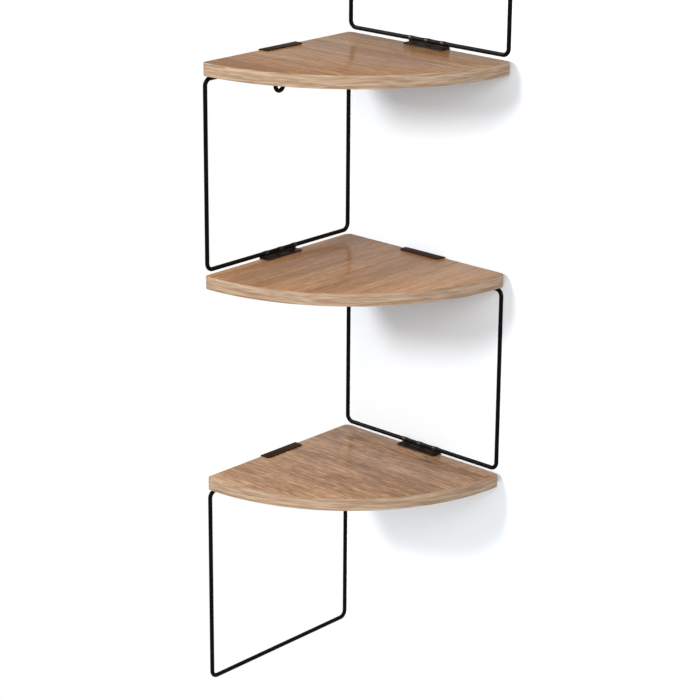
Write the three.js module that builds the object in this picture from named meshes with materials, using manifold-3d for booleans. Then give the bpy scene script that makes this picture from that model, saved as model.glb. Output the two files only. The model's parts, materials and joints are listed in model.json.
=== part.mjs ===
// Corner shelf unit for two walls that meet at a right angle. Three quarter-round boards hang one
// below another between four bent-wire frames, which take turns on the two walls: each board hangs
// from the frame above it by one straight edge and carries the frame below it by the other.
// Every frame bar lies in the rolled knuckles of a sheet-steel clip, so it turns there as a hinge.
//
// Millimetres, +Z up. The origin is where the two wall planes meet, level with the lowest wire.
// The right wall is the plane y = 0, along +X, and the left wall is the plane x = 0, along -Y.

import * as THREE from 'three';
import { mergeVertices } from 'three/addons/utils/BufferGeometryUtils.js';
import Module from 'manifold-3d';

const wasm = await Module();
wasm.setup();

// Boards
const shelfCount = 3;
const boardRadius = 245;
const boardThickness = 15;
const shelfPitch = 248;
const tipRadius = 6;
const rearRadius = 6;
const bandThickness = 1;

// Wire frames, with one more frame than there are boards. The lowest one is longer than the others.
const frameCount = shelfCount + 1;
const wireRadius = 2.5;
const wireBend = 8;
const cornerInset = 4;
const tipInset = 3.3;
const lowestFrameExtra = 20;

// Hanging loops, welded under each frame's top bar, astride the clip's middle knuckle
const loopBend = 6.5;
const loopDrop = 32;

// Clips, each folded from one steel sheet. The upper clip of a board holds the frame above it on
// a raised spine, and the lower clip holds the frame below it close under the board.
const sheet = 1.2;
const knuckleCount = 3;
const knucklePitch = 24;
const knuckleWidth = 6;
const rollGap = 1;
const rollTurn = THREE.MathUtils.degToRad(285);
const clipEnd = 3;
const clipReach = 11.5;
const clipCornerRadius = 3;
const clipCentreShare = 0.5;

// Countersunk screws, which hold each clip to its board
const screwPitch = 24;
const shankRadius = 1.5;
const headRadius = 2.9;
const screwLength = 16;
const headRim = 0.3;
const headSink = 0.1;
const pointLength = 4;

// Gaps between pieces that touch, and in the hinges
const seatGap = 0.3;
const runningGap = 0.3;

// Facets
const arcSteps = 40;
const bendSteps = 6;
const rollSteps = 18;
const wireSides = 12;
const screwSides = 12;

// Distances that follow from the sizes above
const knuckleRadius = wireRadius + runningGap + sheet;
const wireFromWall = knuckleRadius;
const boardFromWall = sheet + seatGap;
const flangeTop = seatGap + sheet;
const upperStandoff = flangeTop + rollGap + knuckleRadius;
const lowerStandoff = seatGap + knuckleRadius;
const frameHeight = shelfPitch - boardThickness - upperStandoff - lowerStandoff;
const lowestFrameHeight = frameHeight + lowestFrameExtra;
const frameWidth = boardRadius - cornerInset - tipInset;
const frameMiddle = boardFromWall + cornerInset + frameWidth / 2;
const clipMiddle = boardFromWall + boardRadius * clipCentreShare;
const clipLength = (knuckleCount - 1) * knucklePitch + knuckleWidth + 2 * clipEnd;
const lowestBoardMiddle = wireRadius + lowestFrameHeight + lowerStandoff + boardThickness / 2;
const lowestTopBar = wireRadius + lowestFrameHeight;

// Materials
function boardLaminate() {
  return new THREE.MeshStandardMaterial({ color: '#a9835f', roughness: 0.45, metalness: 0 });
}

function edgeBand() {
  return new THREE.MeshStandardMaterial({ color: '#c6a27f', roughness: 0.5, metalness: 0 });
}

function blackWire() {
  return new THREE.MeshStandardMaterial({ color: '#17130f', roughness: 0.45, metalness: 0.2 });
}

function darkSheet() {
  return new THREE.MeshStandardMaterial({ color: '#2b211c', roughness: 0.5, metalness: 0.2 });
}

function zincSteel() {
  return new THREE.MeshStandardMaterial({ color: '#9c9c98', roughness: 0.35, metalness: 0.9 });
}

// A closed three.js geometry as a solid that can be joined and cut
function solidOf(geometry) {
  const bare = geometry.clone();
  bare.deleteAttribute('normal');
  bare.deleteAttribute('uv');
  const merged = mergeVertices(bare);
  return new wasm.Manifold(new wasm.Mesh({
    numProp: 3,
    vertProperties: Float32Array.from(merged.attributes.position.array),
    triVerts: Uint32Array.from(merged.index.array),
  }));
}

// A solid as a three.js geometry again
function geometryOf(solid) {
  const mesh = solid.getMesh();
  const geometry = new THREE.BufferGeometry();
  geometry.setAttribute('position', new THREE.BufferAttribute(mesh.vertProperties, 3));
  geometry.setIndex(new THREE.BufferAttribute(mesh.triVerts, 1));
  geometry.computeVertexNormals();
  return geometry;
}

// Points along an arc in a plane, both ends included
function arc(x, y, radius, from, to, steps) {
  return Array.from({ length: steps + 1 }, (_, i) => {
    const angle = from + (to - from) * i / steps;
    return new THREE.Vector2(x + radius * Math.cos(angle), y + radius * Math.sin(angle));
  });
}

function prism(points, depth) {
  return new THREE.ExtrudeGeometry(new THREE.Shape(points), { depth, bevelEnabled: false });
}

// The front edge seen from above, drawn in by a given depth: a blunted tip, the long arc about the
// board's rear corner, and the other blunted tip, from the right wall round to the left wall.
const tipCentre = Math.sqrt((boardRadius - tipRadius) ** 2 - tipRadius ** 2);
const tipAngle = Math.asin(tipRadius / (boardRadius - tipRadius));

function frontEdge(depth) {
  const quarter = Math.PI / 2;
  return [
    ...arc(tipCentre, -tipRadius, tipRadius - depth, quarter, -tipAngle, bendSteps),
    ...arc(0, 0, boardRadius - depth, -tipAngle, tipAngle - quarter, arcSteps).slice(1, -1),
    ...arc(tipRadius, -tipCentre, tipRadius - depth, tipAngle - quarter, -2 * quarter, bendSteps),
  ];
}

// The chipboard stops short of the edge band, in front of it and at its two ends
function boardOutline() {
  const drawnIn = bandThickness + seatGap;
  const straight = tipCentre - seatGap;
  return [
    ...arc(rearRadius, -rearRadius, rearRadius, Math.PI, Math.PI / 2, bendSteps),
    new THREE.Vector2(straight, 0),
    new THREE.Vector2(straight, -drawnIn),
    ...frontEdge(drawnIn),
    new THREE.Vector2(drawnIn, -straight),
    new THREE.Vector2(0, -straight),
  ];
}

function bandOutline() {
  return [...frontEdge(0), ...frontEdge(bandThickness).reverse()];
}

// One screw as a solid of revolution about the y axis, or grown all over, the room that it needs.
// The wall is at y = 0 and the board is on the negative side.
function screwSolid(grow) {
  const back = -headSink;
  const rim = back - headRim;
  const neck = rim - headRadius + shankRadius;
  const tip = back - screwLength;
  const profile = [
    new THREE.Vector2(0, tip - grow),
    new THREE.Vector2(shankRadius + grow, tip + pointLength - grow),
    new THREE.Vector2(shankRadius + grow, neck),
    new THREE.Vector2(headRadius + grow, rim),
    new THREE.Vector2(headRadius + grow, back + grow),
    new THREE.Vector2(0, back + grow),
  ];
  return solidOf(new THREE.LatheGeometry(profile, screwSides));
}

// Where a clip's screws stand, from the clip's middle
const screwPlaces = [-screwPitch / 2, screwPitch / 2];

function screwRoom() {
  const shapes = screwPlaces.map((x) => screwSolid(seatGap).translate([x, 0, 0]));
  return shapes.reduce((whole, shape) => whole.add(shape));
}

// One board, with its rear corner at the origin of its own plane and pilot holes for two clips
function boardGeometry() {
  const slab = prism(boardOutline(), boardThickness).translate(0, 0, -boardThickness / 2);
  const alongRight = screwRoom().translate([clipMiddle - boardFromWall, boardFromWall, 0]);
  const alongLeft = screwRoom().rotate([0, 0, 90]).translate([-boardFromWall, boardFromWall - clipMiddle, 0]);
  return geometryOf(solidOf(slab).subtract(alongRight).subtract(alongLeft));
}

function bandGeometry() {
  return prism(bandOutline(), boardThickness).translate(0, 0, -boardThickness / 2);
}

// A round wire along points in the plane y = 0, closed into a ring or with two flat ends. Each
// point has the direction in which the wire runs there, as an angle from +x towards +z.
function wireAlong(path, closed) {
  const corners = path.flatMap(({ x, z, heading }) => (
    Array.from({ length: wireSides }, (_, side) => {
      const turn = 2 * Math.PI * side / wireSides;
      const across = wireRadius * Math.cos(turn);
      return [x - across * Math.sin(heading), wireRadius * Math.sin(turn), z + across * Math.cos(heading)];
    })
  ));
  const rings = path.length;
  const spans = closed ? rings : rings - 1;
  const faces = [];
  for (let ring = 0; ring < spans; ring += 1) {
    for (let side = 0; side < wireSides; side += 1) {
      const here = ring * wireSides;
      const next = ((ring + 1) % rings) * wireSides;
      const after = (side + 1) % wireSides;
      faces.push(here + side, next + after, here + after);
      faces.push(here + side, next + side, next + after);
    }
  }
  if (!closed) {
    const last = (rings - 1) * wireSides;
    for (let side = 1; side < wireSides - 1; side += 1) {
      faces.push(0, side, side + 1);
      faces.push(last, last + side + 1, last + side);
    }
  }
  const geometry = new THREE.BufferGeometry();
  geometry.setAttribute('position', new THREE.Float32BufferAttribute(corners.flat(), 3));
  geometry.setIndex(faces);
  geometry.computeVertexNormals();
  return geometry;
}

// Path points round one bend, which turns the wire to its left as it runs
function bend(x, z, radius, from, to) {
  return arc(x, z, radius, from, to, bendSteps).map((point, i) => ({
    x: point.x,
    z: point.y,
    heading: from + (to - from) * i / bendSteps + Math.PI / 2,
  }));
}

// A closed rectangle of wire, whose top bar is at z = 0
function frameGeometry(height) {
  const halfWidth = frameWidth / 2 - wireBend;
  const upper = -wireBend;
  const lower = wireBend - height;
  const quarter = Math.PI / 2;
  return wireAlong([
    ...bend(halfWidth, lower, wireBend, -quarter, 0),
    ...bend(halfWidth, upper, wireBend, 0, quarter),
    ...bend(-halfWidth, upper, wireBend, quarter, 2 * quarter),
    ...bend(-halfWidth, lower, wireBend, 2 * quarter, 3 * quarter),
  ], true);
}

// A U of the same wire, whose two legs end just under the bar at z = 0
function loopGeometry() {
  const legTop = -wireRadius - seatGap;
  const bendMiddle = loopBend - loopDrop;
  const quarter = Math.PI / 2;
  return wireAlong([
    { x: -loopBend, z: legTop, heading: -quarter },
    ...bend(0, bendMiddle, loopBend, -2 * quarter, -quarter),
    ...bend(0, bendMiddle, loopBend, -quarter, 0).slice(1),
    { x: loopBend, z: legTop, heading: quarter },
  ], false);
}

// The clip's channel in section, as (y, z): a web against the wall and a flange over each face of
// the board, with rounded folds
function channelSection() {
  const halfInside = boardThickness / 2 + seatGap;
  const halfOutside = halfInside + sheet;
  const front = -(boardFromWall + clipReach);
  const quarter = Math.PI / 2;
  return [
    new THREE.Vector2(front, -halfOutside),
    ...arc(-sheet, -halfInside, sheet, -quarter, 0, bendSteps),
    ...arc(-sheet, halfInside, sheet, 0, quarter, bendSteps),
    new THREE.Vector2(front, halfOutside),
    new THREE.Vector2(front, halfInside),
    new THREE.Vector2(-sheet, halfInside),
    new THREE.Vector2(-sheet, -halfInside),
    new THREE.Vector2(front, -halfInside),
  ];
}

// The upper clip's spine in section, as (y, z): the web goes on past the flange, behind the bar
function spineSection() {
  const foot = boardThickness / 2 + seatGap;
  const top = boardThickness / 2 + upperStandoff - wireRadius;
  return [
    new THREE.Vector2(-sheet, foot),
    new THREE.Vector2(0, foot),
    new THREE.Vector2(0, top),
    new THREE.Vector2(-sheet, top),
  ];
}

// One knuckle in section, as (y, z): the sheet rises from the web, rolls over the bar towards the
// room and comes back underneath. On the lower clip the roll meets the flange there.
function knuckleSection(standoff) {
  const barMiddle = boardThickness / 2 + standoff;
  const foot = boardThickness / 2 + seatGap;
  return [
    new THREE.Vector2(0, foot),
    ...arc(-wireFromWall, barMiddle, knuckleRadius, 0, rollTurn, rollSteps),
    ...arc(-wireFromWall, barMiddle, knuckleRadius - sheet, rollTurn, 0, rollSteps),
    new THREE.Vector2(-sheet, foot),
  ];
}

// A section in (y, z) made solid along x, centred on x = 0
function alongWall(section, length) {
  const geometry = prism(section, length).translate(0, 0, -length / 2);
  const yToPlace = new THREE.Matrix4().makeBasis(
    new THREE.Vector3(0, 1, 0),
    new THREE.Vector3(0, 0, 1),
    new THREE.Vector3(1, 0, 0),
  );
  return solidOf(geometry.applyMatrix4(yToPlace));
}

// What the clip's outline leaves seen from above, with its two front corners rounded
function clipOutline() {
  const half = clipLength / 2;
  const front = boardFromWall + clipReach;
  const inset = half - clipCornerRadius;
  const quarter = Math.PI / 2;
  return [
    new THREE.Vector2(half, 0),
    new THREE.Vector2(-half, 0),
    ...arc(-inset, clipCornerRadius - front, clipCornerRadius, -2 * quarter, -quarter, bendSteps),
    ...arc(inset, clipCornerRadius - front, clipCornerRadius, -quarter, 0, bendSteps),
  ];
}

// A channel with knuckles on its top side, centred on its board's middle plane
function channelWithKnuckles(standoff) {
  const height = boardThickness + 2 * flangeTop;
  const outline = solidOf(prism(clipOutline(), height).translate(0, 0, -height / 2));
  let clip = alongWall(channelSection(), clipLength).intersect(outline);
  for (let i = 0; i < knuckleCount; i += 1) {
    const x = (i - (knuckleCount - 1) / 2) * knucklePitch;
    clip = clip.add(alongWall(knuckleSection(standoff), knuckleWidth).translate([x, 0, 0]));
  }
  return clip.subtract(screwRoom());
}

function upperClipGeometry() {
  const spine = alongWall(spineSection(), clipLength);
  return geometryOf(channelWithKnuckles(upperStandoff).add(spine));
}

// The lower clip is drawn with its knuckles on top and hung the other way up
function lowerClipGeometry() {
  return geometryOf(channelWithKnuckles(lowerStandoff));
}

// Everything on one wall is drawn as on the right wall, with x along the wall. The left wall's
// group is turned a quarter turn, so that x there runs from the left tip to the corner.
const unit = new THREE.Group();
const walls = [
  { group: new THREE.Group(), away: 1 },
  { group: new THREE.Group(), away: -1 },
];
walls[1].group.rotation.z = Math.PI / 2;
walls.forEach(({ group }) => unit.add(group));

function place(parent, name, geometry, material, position) {
  const mesh = new THREE.Mesh(geometry, material);
  mesh.name = name;
  mesh.position.copy(position);
  parent.add(mesh);
  return mesh;
}

// Frames are numbered from the top and take turns on the two walls, right wall first
for (let i = 0; i < frameCount; i += 1) {
  const wall = walls[i % walls.length];
  const topBar = lowestTopBar + (frameCount - 1 - i) * shelfPitch;
  const height = i === frameCount - 1 ? lowestFrameHeight : frameHeight;
  const name = `frame_${i + 1}`;
  const wireAt = new THREE.Vector3(wall.away * frameMiddle, -wireFromWall, topBar);
  const loopAt = new THREE.Vector3(wall.away * clipMiddle, -wireFromWall, topBar);
  place(wall.group, `${name}_wire`, frameGeometry(height), blackWire(), wireAt);
  place(wall.group, `${name}_loop`, loopGeometry(), blackWire(), loopAt);
}

// One clip of a board with its screws
function placeClip(name, wall, middle, geometry) {
  const at = new THREE.Vector3(wall.away * clipMiddle, 0, middle);
  screwPlaces.forEach((x, i) => {
    const screwAt = at.clone().add(new THREE.Vector3(x, 0, 0));
    place(wall.group, `${name}_screw_${i + 1}`, geometryOf(screwSolid(0)), zincSteel(), screwAt);
  });
  return place(wall.group, name, geometry, darkSheet(), at);
}

// Shelves are numbered from the top too: shelf 1 hangs from frame 1 and carries frame 2
for (let i = 0; i < shelfCount; i += 1) {
  const middle = lowestBoardMiddle + (shelfCount - 1 - i) * shelfPitch;
  const rearCorner = new THREE.Vector3(boardFromWall, -boardFromWall, middle);
  const name = `shelf_${i + 1}`;
  place(unit, `${name}_board`, boardGeometry(), boardLaminate(), rearCorner);
  place(unit, `${name}_front_band`, bandGeometry(), edgeBand(), rearCorner);
  placeClip(`${name}_upper_clip`, walls[i % walls.length], middle, upperClipGeometry());
  const lower = placeClip(`${name}_lower_clip`, walls[(i + 1) % walls.length], middle, lowerClipGeometry());
  lower.rotation.y = Math.PI;
}

export default unit;
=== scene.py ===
# Corner shelf unit: three quarter-round oak-effect boards that hang one below another between four
# black wire frames, which take turns on the two walls of a room corner.
import json
import math

import bpy
from mathutils import Matrix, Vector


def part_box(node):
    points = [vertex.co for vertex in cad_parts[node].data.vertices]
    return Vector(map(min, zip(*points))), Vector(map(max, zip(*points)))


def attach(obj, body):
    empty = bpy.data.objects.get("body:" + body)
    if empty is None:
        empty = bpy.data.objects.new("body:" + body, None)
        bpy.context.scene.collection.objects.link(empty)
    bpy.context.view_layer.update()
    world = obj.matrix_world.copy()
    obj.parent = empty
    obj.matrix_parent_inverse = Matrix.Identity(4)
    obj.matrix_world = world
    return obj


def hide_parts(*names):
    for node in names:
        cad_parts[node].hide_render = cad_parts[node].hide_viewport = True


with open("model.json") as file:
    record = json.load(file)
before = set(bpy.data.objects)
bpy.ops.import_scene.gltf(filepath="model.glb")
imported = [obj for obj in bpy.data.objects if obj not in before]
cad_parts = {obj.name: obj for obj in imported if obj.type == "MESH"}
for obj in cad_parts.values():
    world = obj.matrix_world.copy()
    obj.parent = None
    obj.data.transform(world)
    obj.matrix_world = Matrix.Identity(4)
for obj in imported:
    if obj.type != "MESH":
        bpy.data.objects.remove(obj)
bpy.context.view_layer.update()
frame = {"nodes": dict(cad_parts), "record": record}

bpy.context.scene.view_settings.view_transform = "Standard"


# The camera stands in the room, nearly square to the corner, some three metres off and higher
# than the top board, and looks down a little with a long lens. The picture's top edge cuts off
# the upper frame.
CAMERA_PLACE = (1.8520, -2.0381, 1.3090)
CAMERA_HEADING = math.radians(132.19)
CAMERA_PITCH = math.radians(-19.0)
CAMERA_ROLL = math.radians(0.47)
LENS_MM = 120.97
SENSOR_MM = 36.0
RIGHT_ANGLE = math.radians(90)

bpy.ops.object.select_all(action="DESELECT")
bpy.ops.object.camera_add(
    location=CAMERA_PLACE,
    rotation=(RIGHT_ANGLE + CAMERA_PITCH, 0.0, CAMERA_HEADING - RIGHT_ANGLE),
)
camera = bpy.context.object
camera.rotation_euler = (
    camera.rotation_euler.to_matrix() @ Matrix.Rotation(CAMERA_ROLL, 3, "Z")
).to_euler()
camera.data.lens = LENS_MM
camera.data.sensor_width = SENSOR_MM
bpy.context.scene.camera = camera


# The boards are 15 mm chipboard faced with an oak-effect melamine paper, satin to the touch, with
# the grain along the wall that the frame above hangs on. They are sawn to a quarter circle with
# blunted tips, and their two wall edges are banded in the same decor.
MM = 0.001
BODIES = frame["record"]["behaviour"]["bodies"]
BODY_OF = {node: body for body, nodes in BODIES.items() for node in nodes}
SHELVES = (1, 2, 3)
BOARD_MIDDLE = 0.12
BOARD_ARRIS = 0.25 * MM
ARRIS_STEPS = 2
SAWN_ANGLE = math.radians(60)
FLAT_ANGLE = math.radians(1)
SOLID_GAP = 0.001 * MM
UPRIGHT = 0.5


def linear(hex_colour):
    """An sRGB hex value as linear red, green, blue and alpha."""
    shares = [int(hex_colour[i : i + 2], 16) / 255 for i in (1, 3, 5)]
    return [c / 12.92 if c <= 0.04045 else ((c + 0.055) / 1.055) ** 2.4 for c in shares] + [1.0]


def add_node(tree, kind, settings=None, links=None):
    """Adds one node, sets its sockets and properties, and links its inputs."""
    node = tree.nodes.new(kind)
    for name, value in (settings or {}).items():
        if name == "stops":
            ramp = node.color_ramp
            while len(ramp.elements) < len(value):
                ramp.elements.new(0.5)
            for element, (position, colour) in zip(ramp.elements, value):
                element.position = position
                element.color = linear(colour)
        elif isinstance(name, int) or name in node.inputs:
            node.inputs[name].default_value = value
        else:
            setattr(node, name, value)
    for name, socket in (links or {}).items():
        tree.links.new(socket, node.inputs[name])
    return node


def new_material(name):
    """A material with an empty node tree, and the tree."""
    material = bpy.data.materials.new(name)
    material.use_nodes = True
    material.node_tree.nodes.clear()
    return material, material.node_tree


def copy_of_node(node, name):
    """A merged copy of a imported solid, with its flat faces whole again, as the active object."""
    bpy.ops.object.select_all(action="DESELECT")
    source = frame["nodes"][node]
    piece = source.copy()
    piece.data = source.data.copy()
    piece.name = name
    piece.data.name = name
    bpy.context.collection.objects.link(piece)
    piece.parent = None
    piece.data.materials.clear()
    piece.select_set(True)
    bpy.context.view_layer.objects.active = piece
    bpy.ops.object.mode_set(mode="EDIT")
    bpy.ops.mesh.select_all(action="SELECT")
    bpy.ops.mesh.remove_doubles(threshold=SOLID_GAP)
    bpy.ops.mesh.dissolve_limited(angle_limit=FLAT_ANGLE)
    bpy.ops.mesh.select_all(action="DESELECT")
    bpy.ops.object.mode_set(mode="OBJECT")
    return piece


def soften(piece, width, angle):
    """Rounds the sharp edges of the active piece and shades it smooth with its flats kept flat."""
    bpy.ops.object.shade_smooth()
    bevel = piece.modifiers.new("arris", "BEVEL")
    bevel.width = width
    bevel.segments = ARRIS_STEPS
    bevel.limit_method = "ANGLE"
    bevel.angle_limit = angle
    bevel.harden_normals = True
    bpy.ops.object.modifier_apply(modifier=bevel.name)


# The marks of the printed oak, and what each gives the tone. Sizes across and along the grain are
# in millimetres. The pores are drawn coarser than real ones, so that they show.
GRAIN_MARKS = {
    "planks": {"across": 48.0, "along": 420.0, "detail": 1.0},
    "veins": {"across": 9.0, "along": 120.0, "detail": 2.0, "distortion": 0.8},
    "lines": {"across": 2.0, "along": 60.0, "detail": 2.0, "distortion": 0.3},
    "fibres": {"across": 0.9, "along": 18.0, "detail": 1.0},
    "mottle": {"across": 6.0, "along": 11.0, "detail": 2.0},
    "pores": {"across": 1.2, "along": 9.0, "detail": 1.0},
    "weathered": {"across": 34.0, "along": 60.0, "detail": 1.0},
}
TONE_SHARES = {"planks": 0.24, "veins": 0.26, "lines": 0.34, "fibres": 0.38, "mottle": 0.18}
OAK_TONES = [(0.42, "#8B613D"), (0.475, "#A0734B"), (0.525, "#AF8259"), (0.58, "#C59970")]
PORE_BROWN = "#4E3A2B"


def oak_laminate(name, turn, shift, decor):
    """Melamine oak decor, turned and shifted as its sheet was laid, with its own kind of grain.

    Its satin skin mirrors the room softly and the wire above as a faint dark streak.
    """
    material, tree = new_material(name)
    place = add_node(tree, "ShaderNodeTexCoord")
    grain = add_node(
        tree, "ShaderNodeMapping",
        {"Rotation": (0.0, 0.0, turn), "Location": shift},
        {"Vector": place.outputs["Object"]},
    )

    def streaks(across, along, detail, distortion=0.0):
        scaled = add_node(
            tree, "ShaderNodeMapping",
            {"Scale": (1 / (along * MM), 1 / (across * MM), 1 / (across * MM))},
            {"Vector": grain.outputs["Vector"]},
        )
        return add_node(
            tree, "ShaderNodeTexNoise",
            {"Scale": 1.0, "Detail": detail, "Roughness": 0.6, "Distortion": distortion},
            {"Vector": scaled.outputs["Vector"]},
        ).outputs["Fac"]

    def darkness(fac, start, end, most):
        return add_node(
            tree, "ShaderNodeMapRange",
            {"From Min": start, "From Max": end, "To Min": 0.0, "To Max": most}, {"Value": fac},
        ).outputs["Result"]

    marks = {}
    for mark, sizes in GRAIN_MARKS.items():
        drawn_out = decor["length"] if mark in ("veins", "lines", "fibres") else 1.0
        marks[mark] = streaks(**dict(sizes, along=drawn_out * sizes["along"]))

    # The tone leans across the board, and each mark adds its share about the middle
    shares = {
        mark: share * (1.0 if mark == "planks" else decor["depth"])
        for mark, share in TONE_SHARES.items()
    }
    middle = shift[1] + (BOARD_MIDDLE if turn else -BOARD_MIDDLE)
    rest = decor["tone"] - decor["lean"] * middle - sum(shares.values()) / 2
    axes = add_node(tree, "ShaderNodeSeparateXYZ", links={"Vector": grain.outputs["Vector"]})
    tone = add_node(
        tree, "ShaderNodeMath", {"operation": "MULTIPLY_ADD", 1: decor["lean"], 2: rest},
        {0: axes.outputs["Y"]},
    )
    for mark, share in shares.items():
        tone = add_node(
            tree, "ShaderNodeMath", {"operation": "MULTIPLY_ADD", 1: share},
            {0: marks[mark], 2: tone.outputs[0]},
        )
    oak = add_node(tree, "ShaderNodeValToRGB", {"stops": OAK_TONES}, {"Fac": tone.outputs[0]})

    # Short dark pores everywhere, and deeper cracks where the printed oak is weathered
    cracks = add_node(
        tree, "ShaderNodeMath", {"operation": "MULTIPLY"},
        {
            0: darkness(marks["weathered"], start=0.48, end=0.62, most=1.0),
            1: darkness(marks["lines"], start=0.54, end=0.66, most=decor["rustic"]),
        },
    )
    dark = add_node(
        tree, "ShaderNodeMath", {"operation": "MAXIMUM"},
        {0: darkness(marks["pores"], start=0.58, end=0.72, most=0.25), 1: cracks.outputs[0]},
    )
    marked = add_node(
        tree, "ShaderNodeMix", {"data_type": "RGBA", 7: linear(PORE_BROWN)},
        {0: dark.outputs[0], 6: oak.outputs["Color"]},
    )
    bump = add_node(
        tree, "ShaderNodeBump", {"Strength": 0.1, "Distance": 0.05 * MM},
        {"Height": marks["pores"]},
    )
    faded = add_node(
        tree, "ShaderNodeHueSaturation", {"Saturation": decor["vivid"]},
        {"Color": marked.outputs[2]},
    )
    shader = add_node(
        tree, "ShaderNodeBsdfPrincipled",
        {"Roughness": 0.21, "IOR": 1.5, "Specular IOR Level": 0.30},
        {"Base Color": faded.outputs["Color"], "Normal": bump.outputs["Normal"]},
    )
    add_node(tree, "ShaderNodeOutputMaterial", links={"Surface": shader.outputs["BSDF"]})
    return material


EDGING_TONES = [(0.40, "#8B6F57"), (0.50, "#9D836B"), (0.60, "#AE9881")]


def oak_edging(name, along_edge):
    """Oak-effect plastic edge band, paler and duller than the faces, with grain along the edge."""
    material, tree = new_material(name)
    place = add_node(tree, "ShaderNodeTexCoord")
    axes = add_node(tree, "ShaderNodeSeparateXYZ", links={"Vector": place.outputs["Object"]})
    along = along_edge(tree, axes)

    def streaks(across, length, detail):
        scaled_along = add_node(
            tree, "ShaderNodeMath", {"operation": "DIVIDE", 1: length * MM}, {0: along}
        )
        scaled_up = add_node(
            tree, "ShaderNodeMath", {"operation": "DIVIDE", 1: across * MM}, {0: axes.outputs["Z"]}
        )
        joined = add_node(
            tree, "ShaderNodeCombineXYZ",
            links={"X": scaled_along.outputs[0], "Y": scaled_up.outputs[0]},
        )
        return add_node(
            tree, "ShaderNodeTexNoise",
            {"Scale": 1.0, "Detail": detail, "Roughness": 0.5, "Distortion": 0.3},
            {"Vector": joined.outputs["Vector"]},
        ).outputs["Fac"]

    veins = streaks(across=3.2, length=70.0, detail=2.0)
    lines = streaks(across=1.1, length=22.0, detail=1.0)
    tone = add_node(tree, "ShaderNodeMath", {"operation": "MULTIPLY", 1: 0.5}, {0: veins})
    tone = add_node(
        tree, "ShaderNodeMath", {"operation": "MULTIPLY_ADD", 1: 0.5},
        {0: lines, 2: tone.outputs[0]},
    )
    oak = add_node(tree, "ShaderNodeValToRGB", {"stops": EDGING_TONES}, {"Fac": tone.outputs[0]})
    shader = add_node(
        tree, "ShaderNodeBsdfPrincipled", {"Roughness": 0.42, "IOR": 1.5},
        {"Base Color": oak.outputs["Color"]},
    )
    add_node(tree, "ShaderNodeOutputMaterial", links={"Surface": shader.outputs["BSDF"]})
    return material


def from_corner(tree, axes):
    """Distance from the board's rear corner along either straight edge."""
    apart = add_node(
        tree, "ShaderNodeMath", {"operation": "SUBTRACT"},
        {0: axes.outputs["X"], 1: axes.outputs["Y"]},
    )
    return apart.outputs[0]


# No two boards are cut from the same part of the print. Each has its own tone, change of tone per
# metre, length and depth of marks, share of cracks and fullness of colour.
GRAIN_TURN = {1: 0.0, 2: RIGHT_ANGLE, 3: 0.0}
GRAIN_SHIFT = {1: (0.10, 0.02, 0.0), 2: (0.40, 0.37, 0.0), 3: (0.77, 0.06, 0.0)}
DECOR = {
    1: {"tone": 0.503, "lean": 0.25, "length": 1.6, "depth": 0.75, "rustic": 0.15, "vivid": 1.03},
    2: {"tone": 0.495, "lean": 0.5, "length": 2.4, "depth": 0.6, "rustic": 0.15, "vivid": 0.985},
    3: {"tone": 0.493, "lean": -0.25, "length": 1.0, "depth": 0.95, "rustic": 1.0, "vivid": 0.88},
}
wall_edging = oak_edging("oak_edging_on_wall_edges", from_corner)

for shelf in SHELVES:
    board = copy_of_node(f"shelf_{shelf}_board", f"board_{shelf}")
    soften(board, BOARD_ARRIS, SAWN_ANGLE)
    board.data.materials.append(
        oak_laminate(f"oak_laminate_{shelf}", GRAIN_TURN[shelf], GRAIN_SHIFT[shelf], DECOR[shelf])
    )
    board.data.materials.append(wall_edging)
    for face in board.data.polygons:
        face.material_index = 1 if abs(face.normal.z) < UPRIGHT else 0
    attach(board, BODY_OF[f"shelf_{shelf}_board"])
    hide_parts(f"shelf_{shelf}_board")


# The front edge band is a 1 mm plastic strip in a paler oak decor, glued round each board's curved
# front from tip to tip and milled to a small radius along its top and bottom.
FRONT_RADIUS = 0.2465
BAND_RADIUS = 0.7 * MM
BAND_STEPS = 3
BAND_SEAT = 0.3 * MM
LEVEL_WITHIN = 0.1 * MM
SMOOTH_ANGLE = math.radians(30)


def pick_vertices(piece, test):
    """Selects the active piece's vertices that pass the test, and leaves it in edit mode."""
    bpy.ops.object.mode_set(mode="EDIT")
    bpy.ops.mesh.select_mode(type="VERT")
    bpy.ops.mesh.select_all(action="DESELECT")
    bpy.ops.object.mode_set(mode="OBJECT")
    for vertex in piece.data.vertices:
        vertex.select = test(vertex)
    bpy.ops.object.mode_set(mode="EDIT")


def round_the_arc(tree, axes):
    """Distance along the front's arc, from its angle about the room corner."""
    angle = add_node(
        tree, "ShaderNodeMath", {"operation": "ARCTAN2"},
        {0: axes.outputs["Y"], 1: axes.outputs["X"]},
    )
    arc = add_node(
        tree, "ShaderNodeMath", {"operation": "MULTIPLY", 1: FRONT_RADIUS}, {0: angle.outputs[0]}
    )
    return arc.outputs[0]


front_edging = oak_edging("oak_edging_on_front", round_the_arc)

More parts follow.
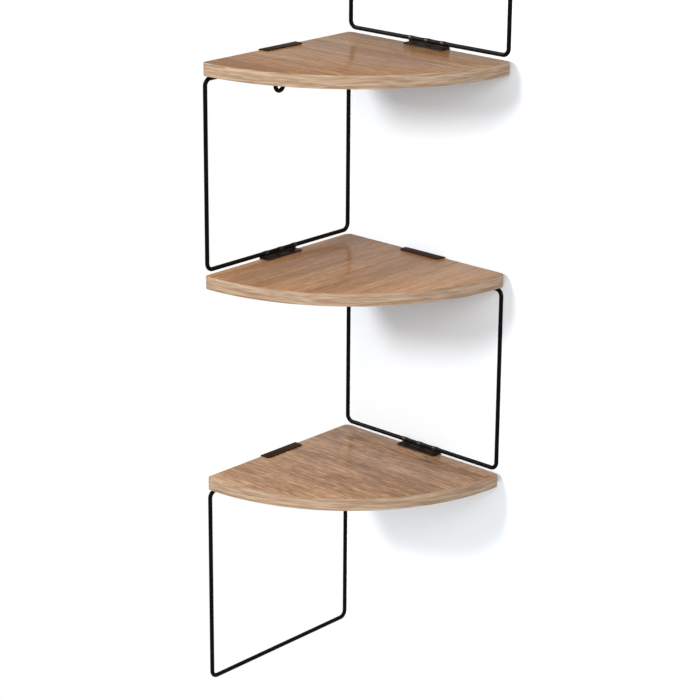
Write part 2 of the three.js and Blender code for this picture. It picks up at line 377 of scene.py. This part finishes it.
for shelf in SHELVES:
    node = f"shelf_{shelf}_front_band"
    band = copy_of_node(node, f"front_edge_band_{shelf}")
    low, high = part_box(node)
    middle_x, middle_y = (low[0] + high[0]) / 2, (low[1] + high[1]) / 2

    # The strip's outer vertices are those of the upright faces that look away from the board
    def looks_away(face):
        outward_x = face.normal.x * (face.center.x - middle_x)
        outward_y = face.normal.y * (face.center.y - middle_y)
        return abs(face.normal.z) < UPRIGHT and outward_x + outward_y > 0

    outer = {v for face in band.data.polygons if looks_away(face) for v in face.vertices}
    board_low, board_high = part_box(f"shelf_{shelf}_board")
    seated = 1 - BAND_SEAT / (board_high[0] - board_low[0])
    pick_vertices(band, lambda vertex: vertex.index not in outer)
    bpy.ops.transform.resize(
        value=(seated, seated, 1.0), center_override=(board_low[0], board_high[1], low[2])
    )
    bpy.ops.object.mode_set(mode="OBJECT")
    for edge in band.data.edges:
        a, b = (band.data.vertices[i].co for i in edge.vertices)
        edge.select = set(edge.vertices) <= outer and abs(a.z - b.z) < LEVEL_WITHIN
    bpy.ops.object.mode_set(mode="EDIT")
    bpy.ops.mesh.select_mode(type="EDGE")
    bpy.ops.mesh.bevel(offset=BAND_RADIUS, segments=BAND_STEPS, affect="EDGES")
    bpy.ops.object.mode_set(mode="OBJECT")
    bpy.ops.object.shade_smooth_by_angle(angle=SMOOTH_ANGLE)
    band.data.materials.append(front_edging)
    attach(band, BODY_OF[node])
    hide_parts(node)


# Each frame is one length of 5 mm steel wire, bent to a rectangle, butt welded and powder coated
# black. The coating is satin, and its fine orange peel breaks up the highlights.
WIRE_RADIUS = 2.5 * MM
WIRE_BEND = 8.0 * MM
WIRE_SIDES = 24
WIRE_GAP = 0.01 * MM
BEND_STEPS = 10
BEND_AXIS = ((0, -1, 0), (1, 0, 0))
FRAMES = (1, 2, 3, 4)
ROUGHNESS_SPREAD = 0.05


def powder_coat(name, colour, roughness, peel, gloss):
    """Powder coat on steel. An orange peel of the given size in millimetres breaks its gleams."""
    material, tree = new_material(name)
    place = add_node(tree, "ShaderNodeTexCoord")
    grit = add_node(
        tree, "ShaderNodeTexNoise", {"Scale": 1 / (peel * MM), "Detail": 2.0, "Roughness": 0.5},
        {"Vector": place.outputs["Object"]},
    )
    bump = add_node(
        tree, "ShaderNodeBump", {"Strength": 0.03, "Distance": 0.03 * MM},
        {"Height": grit.outputs["Fac"]},
    )
    shade = add_node(
        tree, "ShaderNodeMapRange",
        {
            "From Min": 0.3, "From Max": 0.7,
            "To Min": roughness - ROUGHNESS_SPREAD, "To Max": roughness + ROUGHNESS_SPREAD,
        },
        {"Value": grit.outputs["Fac"]},
    )
    shader = add_node(
        tree, "ShaderNodeBsdfPrincipled",
        {"Base Color": linear(colour), "IOR": 1.5, "Specular IOR Level": gloss},
        {"Roughness": shade.outputs["Result"], "Normal": bump.outputs["Normal"]},
    )
    add_node(tree, "ShaderNodeOutputMaterial", links={"Surface": shader.outputs["BSDF"]})
    return material


def lie_of(node):
    """The box and middle of a frame's piece, and the level axis that it runs along, 0 or 1."""
    low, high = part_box(node)
    middle = [(a + b) / 2 for a, b in zip(low, high)]
    wide = 0 if high[0] - low[0] > high[1] - low[1] else 1
    return low, high, middle, wide


def start_wire(name, place):
    """Opens a new wire as a flat ring of points, in edit mode, ready to be drawn out upwards."""
    bpy.ops.object.select_all(action="DESELECT")
    bpy.ops.mesh.primitive_circle_add(vertices=WIRE_SIDES, radius=WIRE_RADIUS, location=place)
    piece = bpy.context.object
    piece.name = name
    piece.data.name = name
    bpy.ops.object.transform_apply(location=True, rotation=True, scale=True)
    bpy.ops.object.mode_set(mode="EDIT")
    bpy.ops.mesh.select_all(action="SELECT")
    return piece


def draw_out(step):
    """Draws the open end of the wire out straight."""
    bpy.ops.mesh.extrude_region_move(TRANSFORM_OT_translate={"value": step})


def bend_round(centre, axis, right_angles):
    """Draws the open end of the wire out round a bend."""
    bpy.ops.mesh.spin(
        steps=right_angles * BEND_STEPS, angle=-right_angles * RIGHT_ANGLE,
        center=centre, axis=axis,
    )


def close_wire(piece):
    """Merges what meets, turns the faces outward and shades the wire smooth."""
    bpy.ops.mesh.select_all(action="SELECT")
    bpy.ops.mesh.remove_doubles(threshold=WIRE_GAP)
    bpy.ops.mesh.normals_make_consistent(inside=False)
    bpy.ops.object.mode_set(mode="OBJECT")
    bpy.ops.object.shade_smooth()


black_coat = powder_coat("black_powder_coat", "#080504", roughness=0.42, peel=0.5, gloss=0.1)

for number in FRAMES:
    node = f"frame_{number}_wire"
    low, high, middle, wide = lie_of(node)
    side = [0.0, 0.0, 0.0]
    side[wide] = 1.0

    # The bends' centres lie this far in from the wire's outside
    inset = WIRE_RADIUS + WIRE_BEND
    near, far = low[wide] + inset, high[wide] - inset
    bottom, top = low[2] + inset, high[2] - inset
    width, height = far - near, top - bottom

    def on_frame(along, z):
        point = list(middle)
        point[wide] = along
        point[2] = z
        return point

    wire = start_wire(f"wire_frame_{number}", on_frame(far + WIRE_BEND, middle[2]))
    draw_out((0.0, 0.0, height / 2))
    for along, z, step in (
        (far, top, [-width * s for s in side]),
        (near, top, (0.0, 0.0, -height)),
        (near, bottom, [width * s for s in side]),
        (far, bottom, (0.0, 0.0, height / 2)),
    ):
        bend_round(on_frame(along, z), BEND_AXIS[wide], right_angles=1)
        draw_out(step)
    close_wire(wire)
    wire.data.materials.append(black_coat)
    wire.visible_shadow = False
    wire.visible_diffuse = False
    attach(wire, BODY_OF[node])
    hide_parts(node)


# The hanging loop is a small U of the same wire, whose two legs are welded under the frame's top
# bar. A screw in the wall goes through it, and it is coated together with the frame.
WELD_FLARE = 1.3
WELD_HEIGHT = 1.4 * MM

for number in FRAMES:
    node = f"frame_{number}_loop"
    low, high, middle, wide = lie_of(node)
    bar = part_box(f"frame_{number}_wire")[1][2] - WIRE_RADIUS
    bend = (high[wide] - low[wide]) / 2 - WIRE_RADIUS
    turn = low[2] + WIRE_RADIUS + bend
    centre = list(middle)
    centre[2] = turn
    leg_top = list(middle)
    leg_top[wide] = middle[wide] - bend
    leg_top[2] = bar - WIRE_RADIUS / 2
    below_weld = list(leg_top)
    below_weld[2] -= WELD_HEIGHT
    other_leg_top = list(leg_top)
    other_leg_top[wide] = middle[wide] + bend

    # The weld spreads along the bar only, so that it clears the clip when the frame is folded
    wider, narrower = [1.0] * 3, [1.0] * 3
    wider[wide], narrower[wide] = WELD_FLARE, 1 / WELD_FLARE
    loop = start_wire(f"hanging_loop_{number}", leg_top)
    bpy.ops.transform.resize(value=wider, center_override=leg_top)
    draw_out((0.0, 0.0, -WELD_HEIGHT))
    bpy.ops.transform.resize(value=narrower, center_override=below_weld)
    draw_out((0.0, 0.0, turn - below_weld[2]))
    bend_round(centre, BEND_AXIS[wide], right_angles=2)
    draw_out((0.0, 0.0, below_weld[2] - turn))
    draw_out((0.0, 0.0, WELD_HEIGHT))
    bpy.ops.transform.resize(value=wider, center_override=other_leg_top)
    bpy.ops.mesh.select_all(action="SELECT")
    bpy.ops.mesh.fill_holes(sides=WIRE_SIDES)
    close_wire(loop)
    loop.data.materials.append(black_coat)
    loop.visible_shadow = False
    loop.visible_diffuse = False
    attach(loop, BODY_OF[node])
    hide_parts(node)


# Each clip is folded from one 1.2 mm steel sheet: a channel over the board's edge, with three tabs
# rolled round the frame's bar. It is powder coated in a warmer brown-black than the wire. The
# upper clips, which carry the load, get a glossier copy of that coat whose darker colour is
# painted shade.
CLIP_ARRIS = 0.2 * MM
FOLDED_ANGLE = math.radians(40)
ROLL_INSIDE, HUGGED_INSIDE = 2.8 * MM, 2.55 * MM
ROLL_OUTSIDE, HUGGED_OUTSIDE = 4.0 * MM, 2.85 * MM
ROLL_WITHIN = 0.1 * MM
FLANGE_WITHIN = 0.005 * MM
UPPER_FOOT, LOWER_FOOT = -WIRE_RADIUS, WIRE_RADIUS + 1.0 * MM


def hug_bar(clip, node):
    """Draws the rolled tabs close round the bar, with a thinner wall than the flat of the clip."""
    shelf = int(node.split("_")[1])
    upper = "upper" in node
    low, high, bar, wide = lie_of(f"frame_{shelf if upper else shelf + 1}_wire")
    out, room = (1, -1) if wide == 0 else (0, 1)
    bar[2] = low[2] + WIRE_RADIUS if upper else high[2] - WIRE_RADIUS

    # The web is cut across where its tabs begin, so that its back stays flat when they move
    foot = list(bar)
    foot[2] += UPPER_FOOT if upper else LOWER_FOOT
    bpy.ops.object.mode_set(mode="EDIT")
    bpy.ops.mesh.select_all(action="SELECT")
    bpy.ops.mesh.bisect(plane_co=foot, plane_no=(0.0, 0.0, 1.0))
    bpy.ops.object.mode_set(mode="OBJECT")

    def across(vertex):
        return room * (vertex.co[out] - bar[out])

    def is_on(vertex, roll):
        return abs(math.hypot(across(vertex), vertex.co.z - bar[2]) - roll) < ROLL_WITHIN

    # The lower clip's flange passes close over the bar, and the rolls run into it
    def in_flange(vertex):
        return not upper and abs(vertex.co.z - bar[2] - ROLL_INSIDE) < FLANGE_WITHIN

    # Where the outer roll meets the flange, it is drawn along the flange, which stays flat
    seam = math.sqrt((HUGGED_OUTSIDE**2 - ROLL_INSIDE**2) / (ROLL_OUTSIDE**2 - ROLL_INSIDE**2))
    closer = [1.0] * 3
    closer[out] = seam
    pick_vertices(clip, lambda v: in_flange(v) and is_on(v, ROLL_OUTSIDE) and across(v) > 0)
    bpy.ops.transform.resize(value=closer, center_override=bar)
    bpy.ops.object.mode_set(mode="OBJECT")
    for roll, hugged in ((ROLL_INSIDE, HUGGED_INSIDE), (ROLL_OUTSIDE, HUGGED_OUTSIDE)):
        closer = [hugged / roll] * 3
        closer[wide] = 1.0
        pick_vertices(
            clip,
            lambda v: is_on(v, roll) and not (in_flange(v) and abs(across(v)) > ROLL_WITHIN),
        )
        bpy.ops.transform.resize(value=closer, center_override=bar)
        bpy.ops.object.mode_set(mode="OBJECT")


brown_coat = powder_coat(
    "brown_black_powder_coat", "#2D190B", roughness=0.5, peel=0.6, gloss=0.1
)
# The upper clips' coat is the same finish made glossier; its darker base colour is painted shade,
# for how the light falls on them
shaded_glossy_coat = powder_coat("shaded_glossy_powder_coat", "#1C110B", roughness=0.34, peel=0.6, gloss=0.4)

for shelf in SHELVES:
    for kind in ("upper", "lower"):
        node = f"shelf_{shelf}_{kind}_clip"
        clip = copy_of_node(node, f"{kind}_knuckle_clip_{shelf}")
        hug_bar(clip, node)
        soften(clip, CLIP_ARRIS, FOLDED_ANGLE)
        clip.data.materials.append(shaded_glossy_coat if kind == "upper" else brown_coat)
        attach(clip, BODY_OF[node])
        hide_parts(node)


# Two zinc-plated steel countersunk screws, with turned heads, hold each clip to its board through
# the web. Their heads face the wall.
ZINC = "#B9BCC0"
DRAWN_GRAIN = 0.4 * MM


def zinc_plate(name):
    """Bright zinc on steel, slightly blue, whose fine drawn grain makes its gleam uneven."""
    material, tree = new_material(name)
    place = add_node(tree, "ShaderNodeTexCoord")
    grit = add_node(
        tree, "ShaderNodeTexNoise", {"Scale": 1 / DRAWN_GRAIN, "Detail": 2.0},
        {"Vector": place.outputs["Object"]},
    )
    shade = add_node(
        tree, "ShaderNodeMapRange", {"To Min": 0.25, "To Max": 0.45},
        {"Value": grit.outputs["Fac"]},
    )
    shader = add_node(
        tree, "ShaderNodeBsdfPrincipled", {"Base Color": linear(ZINC), "Metallic": 1.0},
        {"Roughness": shade.outputs["Result"]},
    )
    add_node(tree, "ShaderNodeOutputMaterial", links={"Surface": shader.outputs["BSDF"]})
    return material


zinc = zinc_plate("zinc_plated_steel")
for shelf in SHELVES:
    for kind in ("upper", "lower"):
        for number in (1, 2):
            node = f"shelf_{shelf}_{kind}_clip_screw_{number}"
            screw = frame["nodes"][node]
            screw.data.materials.clear()
            screw.data.materials.append(zinc)


# The stage: a pale wall behind the right-hand frames, which keeps the shadow of the boards, and a
# pale floor, which fades into the white room all round. Both are seen from their front only, and
# they neither light nor shade the unit.
UNIT_MIDDLE = (0.12, -0.12, 0.50)
WALL_CLEARANCE = 0.8 * MM
WALL_REACH = 4.0
FLOOR_LEVEL = -0.9
FLOOR_WHOLE, FLOOR_GONE = 0.3, 1.6
PALE = "#E4E8EC"


def stage_white(name, whole, gone):
    """Pale paint seen by the camera only, whole and gone at these distances from its middle."""
    material, tree = new_material(name)
    ray = add_node(tree, "ShaderNodeLightPath")
    geometry = add_node(tree, "ShaderNodeNewGeometry")
    front = add_node(
        tree, "ShaderNodeMath", {"operation": "SUBTRACT", 0: 1.0},
        {1: geometry.outputs["Backfacing"]},
    )
    shown = add_node(
        tree, "ShaderNodeMath", {"operation": "MULTIPLY"},
        {0: front.outputs[0], 1: ray.outputs["Is Camera Ray"]},
    )
    place = add_node(tree, "ShaderNodeTexCoord")
    away = add_node(
        tree, "ShaderNodeVectorMath", {"operation": "LENGTH"}, {0: place.outputs["Object"]}
    )
    shown = add_node(
        tree, "ShaderNodeMapRange",
        {"interpolation_type": "SMOOTHSTEP", "From Min": whole, "From Max": gone, "To Max": 0.0},
        {"Value": away.outputs["Value"], "To Min": shown.outputs[0]},
    )
    matt = add_node(tree, "ShaderNodeBsdfDiffuse", {"Color": linear(PALE)})
    clear = add_node(tree, "ShaderNodeBsdfTransparent")
    mix = add_node(
        tree, "ShaderNodeMixShader",
        links={0: shown.outputs["Result"], 1: clear.outputs[0], 2: matt.outputs[0]},
    )
    add_node(tree, "ShaderNodeOutputMaterial", links={"Surface": mix.outputs[0]})
    return material


bpy.ops.object.select_all(action="DESELECT")
bpy.ops.mesh.primitive_plane_add(
    size=WALL_REACH,
    location=(WALL_REACH / 2, WALL_CLEARANCE, UNIT_MIDDLE[2]),
    rotation=(RIGHT_ANGLE, 0.0, 0.0),
)
wall = bpy.context.object
wall.name = "stage_wall"
wall.data.materials.append(stage_white("pale_wall", WALL_REACH, 2 * WALL_REACH))

bpy.ops.object.select_all(action="DESELECT")
bpy.ops.mesh.primitive_plane_add(
    size=2 * WALL_REACH, location=(UNIT_MIDDLE[0], UNIT_MIDDLE[1], FLOOR_LEVEL)
)
floor = bpy.context.object
floor.name = "stage_floor"
floor.data.materials.append(stage_white("pale_floor", FLOOR_WHOLE, FLOOR_GONE))


# The light: a white room, brighter towards its ceiling and its right-hand side, a soft lamp in
# front on the left that throws the boards' shadows, a broad one on the right and a weak one beside
# it that fill their far ends, and a weak low one that thins the lowest shadow. The pieces mirror
# only the room and a lamp high on the left, which gleams on bars along the right wall and on tabs.
FLOOR_LIGHT = 0.32
CEILING_LIGHT = 0.80
RIGHT_SIDE_LIGHT = 0.12
REFLECTED_SHARE = 0.8
UNIT_FOOT = (0.12, 0.0, 0.10)

# Each lamp has the point it aims at, its way from there, its distance, its size and its power
LAMPS = {
    "left_lamp": (UNIT_MIDDLE, (-0.262, -0.889, 0.375), 2.5, 0.45, 41.0),
    "right_lamp": (UNIT_MIDDLE, (0.652, -0.652, 0.385), 2.5, 1.4, 30.0),
    "low_lamp": (UNIT_FOOT, (-0.10, -0.70, -0.707), 0.9, 0.5, 4.2),
    "side_lamp": (UNIT_MIDDLE, (0.96, -0.27, -0.10), 2.5, 0.8, 8.0),
    "gleam_lamp": (UNIT_MIDDLE, (-0.67, -0.45, 0.59), 2.5, 1.0, 42.0),
}

world = bpy.data.worlds.new("room_light")
bpy.context.scene.world = world
world.use_nodes = True
tree = world.node_tree
tree.nodes.clear()
ray = add_node(tree, "ShaderNodeLightPath")
seen = add_node(
    tree, "ShaderNodeMath", {"operation": "MAXIMUM"},
    {0: ray.outputs["Is Camera Ray"], 1: ray.outputs["Is Transmission Ray"]},
)
room_way = add_node(tree, "ShaderNodeTexCoord")
room_way = add_node(tree, "ShaderNodeSeparateXYZ", links={"Vector": room_way.outputs["Generated"]})
level = add_node(
    tree, "ShaderNodeMapRange",
    {"From Min": -1.0, "From Max": 1.0, "To Min": FLOOR_LIGHT, "To Max": CEILING_LIGHT},
    {"Value": room_way.outputs["Z"]},
)
level = add_node(
    tree, "ShaderNodeMath", {"operation": "MULTIPLY_ADD", 1: RIGHT_SIDE_LIGHT},
    {0: room_way.outputs["X"], 2: level.outputs["Result"]},
)
dimmed = add_node(
    tree, "ShaderNodeMapRange", {"To Min": 1.0, "To Max": REFLECTED_SHARE},
    {"Value": ray.outputs["Is Glossy Ray"]},
)
level = add_node(
    tree, "ShaderNodeMath", {"operation": "MULTIPLY"},
    {0: level.outputs[0], 1: dimmed.outputs["Result"]},
)
level = add_node(
    tree, "ShaderNodeMix", {"data_type": "FLOAT", 3: 1.0},
    {0: seen.outputs[0], 2: level.outputs[0]},
)
room = add_node(
    tree, "ShaderNodeBackground", {"Color": linear("#FFFFFF")}, {"Strength": level.outputs[0]}
)
add_node(tree, "ShaderNodeOutputWorld", links={"Surface": room.outputs[0]})

for name, (aim, way, distance, size, watts) in LAMPS.items():
    across, back, up = way
    tilt = math.atan2(math.hypot(across, back), up)
    heading = math.atan2(back, across) + RIGHT_ANGLE
    bpy.ops.object.select_all(action="DESELECT")
    bpy.ops.object.light_add(
        type="AREA",
        location=[a + distance * w for a, w in zip(aim, way)],
        rotation=(tilt, 0.0, heading),
    )
    lamp = bpy.context.object
    lamp.name = name
    lamp.data.shape = "DISK"
    lamp.data.size = size
    lamp.data.energy = watts
    lamp.visible_camera = False
    lamp.visible_diffuse = name != "gleam_lamp"
    lamp.visible_glossy = name == "gleam_lamp"
